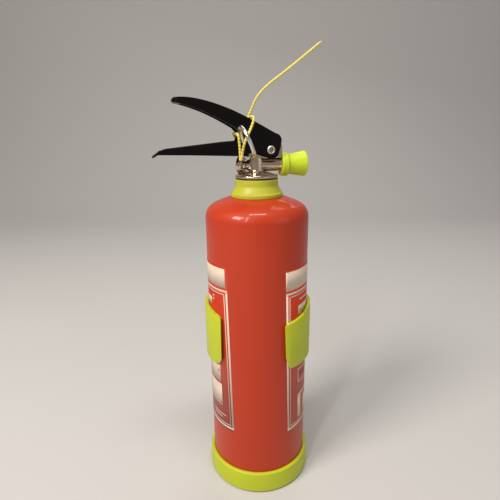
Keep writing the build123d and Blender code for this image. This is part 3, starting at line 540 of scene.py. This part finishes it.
flow = along(0, OUTLET)
nozzle_line = round_off([(4.25, 19.7), (9.3, 19.7), (9.5, 24.7), (8.15, 25.6), (8.55, 30.0), (10.35, 40.2),
                         (8.7, 40.2), (5.8, 31.0), (2.5, 31.0), (2.5, 30.0), (4.25, 30.0)],
                        [0.2, 0.7, 0.6, 0.5, 6.0, 0.7, 0.4, 0.6, 0.2, 0.1, 0.1], steps=5)
nozzle = lathe("nozzle_cone", nozzle_line, "cylinder", LIME_BRIGHT, flow, segments=120)
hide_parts("nozzle")

base_line = round_off([(7.6, FLANGE - 17.9), (13.4, FLANGE - 17.9), (13.4, FLANGE), (17.2, FLANGE),
                       (17.2, FLANGE + 1.9), (14.0, FLANGE + 2.6), (10.6, FLANGE + 3.6), (8.9, FLANGE + 4.1),
                       (6.4, FLANGE + 4.3), (5.6, FLANGE + 5.6), (5.6, FLANGE + 15.6), (2.1, FLANGE + 15.6),
                       (2.1, FLANGE + 14.8), (3.2, FLANGE + 14.8), (3.2, FLANGE + 0.6), (7.6, FLANGE + 0.6)],
                      [0.3, 0.6, 0.2, 0.5, 0.7, 1.5, 1.5, 0.7, 0.6, 1.2, 0.1, 0.1, 0.1, 0.1, 0.2, 0.2], steps=4)
body_base = lathe("valve_base", base_line, "cylinder", CHROME, segments=160)
tube_line = round_off([(2.6, 2.8), (5.2, 2.8), (5.2, 18.9), (5.55, 19.15), (5.55, 19.68), (4.15, 19.7),
                       (4.15, 29.95), (2.6, 29.95)],
                      [0, 0.3, 0.3, 0.2, 0.2, 0.1, 0.5, 0.2], steps=4)
outlet = lathe("outlet_tube", tube_line, "cylinder", CHROME, flow, segments=96)
gauge_place = along(GAUGE_TURN, GAUGE)
port_line = round_off([(0.85, 3.4), (4.6, 3.4), (4.6, 7.4), (0.85, 7.4)], [0, 0.2, 0.5, 0.1], steps=4)
port = lathe("gauge_port", port_line, "cylinder", CHROME, gauge_place, segments=80)
EAR_LOW, EAR_HIGH = FLANGE + 15.4, FLANGE + 25.8
ear_outline = round_off([(-7.5, EAR_LOW), (19.7, EAR_LOW), (19.7, EAR_HIGH), (-7.5, EAR_HIGH)],
                        [1.2, 1.0, 1.8, 1.8], steps=4)
ears = prism("valve_ears", ear_outline, -5.9, 5.9, "cylinder", CHROME, bevel=0.55)
gusset = prism("valve_gusset", [(4.6, FLANGE + 3.9), (12.7, OUTLET - 4.4), (4.6, OUTLET - 4.4)], -1.6, 1.6,
               "cylinder", CHROME, bevel=0.4)
valve = join(body_base, outlet, port, ears, gusset)
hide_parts("valve_body")

# ------------------------------------------------------------------ pin and rivet

WIRE_R, RING_R, LEAN = 1.4, 11.7, radians(23.3)
PIN = Vector((-12.7, 0, FLANGE + 27.7))
ring_y = -(LEVER_HALF + 4.5)
mid = Vector((PIN.x, ring_y - RING_R, PIN.z))
tilt = Vector((-sin(LEAN), 0, cos(LEAN)))
pin_path = [Vector((PIN.x, y, PIN.z)) for y in (12.3, 8.0, 2.0, -4.0, -9.0, ring_y + 2.6)]
turn_in, ring_end = radians(14), radians(283.0)
entry = mid + Vector((0, 1, 0)) * RING_R * cos(turn_in) + tilt * RING_R * sin(turn_in)
corner = Vector((PIN.x, ring_y + 0.1, PIN.z))
for k in range(1, 8):
    t = k / 8
    pin_path.append((1 - t) ** 2 * pin_path[5] + 2 * t * (1 - t) * corner + t * t * entry)
steps = 90
for k in range(steps + 1):
    a = turn_in + (ring_end - turn_in) * k / steps
    pin_path.append(mid + Vector((0, 1, 0)) * RING_R * cos(a) + tilt * RING_R * sin(a))
pin_radii = [WIRE_R] * len(pin_path)
pin_path.insert(0, Vector((PIN.x, 12.75, PIN.z)))
pin_radii.insert(0, WIRE_R * 0.65)
last = pin_path[-1] + (pin_path[-1] - pin_path[-2]).normalized() * 0.5
pin_path.append(last)
pin_radii.append(WIRE_R * 0.6)
pull = tube("pin_wire", pin_path, pin_radii, "pin", WIRE, segments=28, normal=(0, 0, 1))
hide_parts("safety_pin")

rivet_axis = Matrix(((1, 0, 0, PIVOT.x), (0, 0, 1, 0), (0, -1, 0, PIVOT.z), (0, 0, 0, 1)))
head = LEVER_HALF + 0.1
rivet_line = round_off([(1.8, -head - 0.75), (2.5, -head - 0.85), (3.5, -head - 0.05), (2.6, -head), (2.6, head),
                        (3.5, head + 0.05), (2.5, head + 0.85), (1.8, head + 0.75)],
                       [0.35, 0.8, 0.15, 0, 0, 0.15, 0.8, 0.35], steps=5)
rivet = lathe("rivet", rivet_line, "cylinder", STEEL, rivet_axis, segments=64)
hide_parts("pivot_rivet")

# ------------------------------------------------------------------ gauge

case_line = round_off([(0.8, 4.2), (2.6, 4.2), (2.6, 8.2), (3.6, 8.3), (3.6, 10.6), (6.3, 10.6), (6.9, 11.4),
                       (6.9, 12.5), (7.3, 12.7), (7.3, 15.2), (5.5, 15.2), (5.5, 15.0), (6.2, 15.0), (6.2, 11.4),
                       (0.8, 11.4)],
                      [0.1, 0.2, 0.1, 0.3, 0.5, 0.5, 0.4, 0.2, 0.25, 0.6, 0.15, 0.05, 0.05, 0.2, 0.1], steps=4)
case = lathe("gauge_housing", case_line, "cylinder", CHROME, gauge_place, segments=120)
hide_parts("gauge_case")


DIAL_FACE = 13.14


def dial_mark(name, start, end, r0, r1, mat):
    """Thin sector on the dial's face; angles run clockwise from the top as the dial is read."""
    verts, n = [], 24
    for k in range(n + 1):
        a = radians(90 - (start + (end - start) * k / n))
        for r in (r0, r1):
            verts.append(gauge_place @ Vector((-r * cos(a), r * sin(a), DIAL_FACE)))
    faces = [(2 * k, 2 * k + 1, 2 * k + 3, 2 * k + 2) for k in range(n)]
    o = piece(name, verts, faces, "cylinder", mat)
    o.modifiers.new("ink", "SOLIDIFY").thickness = 0.00004
    return o


dial_mark("dial_low", -100, -28, 3.6, 5.2, DIAL_RED)
dial_mark("dial_good", -28, 32, 3.6, 5.2, GREEN)
dial_mark("dial_high", 32, 100, 3.6, 5.2, DIAL_RED)
for k, a in enumerate((-100, -64, -28, 2, 32, 66, 100)):
    dial_mark(f"dial_tick_{k}", a - 1.2, a + 1.2, 5.3, 5.9, DARK)

# ------------------------------------------------------------------ pressed parts and the holder


def dress(name, mat, edge=0.0, steps=3, limit=28):
    """New material for a CAD node, with its sharp edges rounded over."""
    o = nodes[name]
    o.data.materials.clear()
    o.data.materials.append(mat)
    if edge:
        w = o.modifiers.new("weld", "WELD")
        w.merge_threshold = 0.00001
        flat = o.modifiers.new("flat", "DECIMATE")
        flat.decimate_type = "DISSOLVE"
        flat.angle_limit = radians(0.6)
        b = o.modifiers.new("edge", "BEVEL")
        b.width = edge * MM
        b.segments = steps
        b.limit_method = "ANGLE"
        b.angle_limit = radians(limit)
        b.harden_normals = False
        b.use_clamp_overlap = True
        s = o.modifiers.new("tri", "TRIANGULATE")
        s.keep_custom_normals = False
    return o


dress("squeeze_lever", BLACK, 0.55)
dress("carrying_handle", BLACK, 0.45)
dress("clip_bracket", LIME, 0.8)
dress("neck_boss", STEEL)
dress("handle_cross_pin", STEEL)
dress("valve_stem", BRASS)
dress("stem_seal", RUBBER)
dress("stem_o_ring", RUBBER)
dress("stem_spring", STEEL)
dress("spring_retainer", BRASS)
dress("siphon_tube", WHITE)
dress("powder_charge", POWDER)
dress("gauge_gasket", RUBBER)
dress("gauge_dial", WHITE)
dress("gauge_pointer", DARK)
dress("gauge_lens", GLASS)
dress("bourdon_tube", BRASS)

# ------------------------------------------------------------------ floor and light

FLOOR = shader("floor_paper", srgb("BEBBB9"), rough=0.9, shade=0.97, scale=6, bump=0.04, bump_scale=500)
verts = []
profile = [(-2.2, 0.0), (1.1, 0.0)] + [(1.1 + 0.7 * sin(a), 0.7 - 0.7 * cos(a)) for a in
                                       [radians(9 * k) for k in range(1, 11)]] + [(1.8, 3.2)]
for s in (-2.6, 2.6):
    for y, z in profile:
        verts.append(Vector((s, y, z)))
n = len(profile)
faces = [(i, i + 1, n + i + 1, n + i) for i in range(n - 1)]
me = bpy.data.meshes.new("backdrop")
me.from_pydata(verts, [], faces)
me.shade_smooth()
me.materials.append(FLOOR)
backdrop = bpy.data.objects.new("backdrop", me)
bpy.context.scene.collection.objects.link(backdrop)
backdrop.rotation_euler = (0, 0, -heading)


def lamp(name, az, el, dist, size, power, colour=(1, 1, 1), aim=(0, 0, 0.2), size_y=None):
    """Area light at an azimuth from the camera's heading, aimed at a point."""
    a, e = heading + radians(az), radians(el)
    spot = Vector(aim) + Vector((-sin(a) * cos(e), -cos(a) * cos(e), sin(e))) * dist
    data = bpy.data.lights.new(name, "AREA")
    data.energy = power
    data.color = colour
    data.shape = "RECTANGLE"
    data.size = size
    data.size_y = size_y or size
    o = bpy.data.objects.new(name, data)
    o.location = spot
    o.rotation_euler = (Vector(aim) - spot).to_track_quat("-Z", "Y").to_euler()
    bpy.context.scene.collection.objects.link(o)
    return o


lamp("key", 52, 42, 1.6, 0.5, 21, (1.0, 0.95, 0.88))
lamp("strip", 26, 38, 1.5, 0.08, 5, (1.0, 0.97, 0.93), size_y=0.9)
lamp("fill", -55, 20, 1.8, 1.2, 3, (0.96, 0.97, 1.0))
lamp("top", -5, 78, 1.5, 0.6, 9, (1.0, 0.97, 0.93), size_y=0.22)
lamp("back", -165, 45, 1.6, 0.8, 5, (1.0, 0.97, 0.94))
world = bpy.data.worlds.new("studio")
world.use_nodes = True
world.node_tree.nodes["Background"].inputs["Color"].default_value = (0.70, 0.68, 0.66, 1)
world.node_tree.nodes["Background"].inputs["Strength"].default_value = 0.42
bpy.context.scene.world = world
bpy.context.scene.view_settings.view_transform = "Standard"
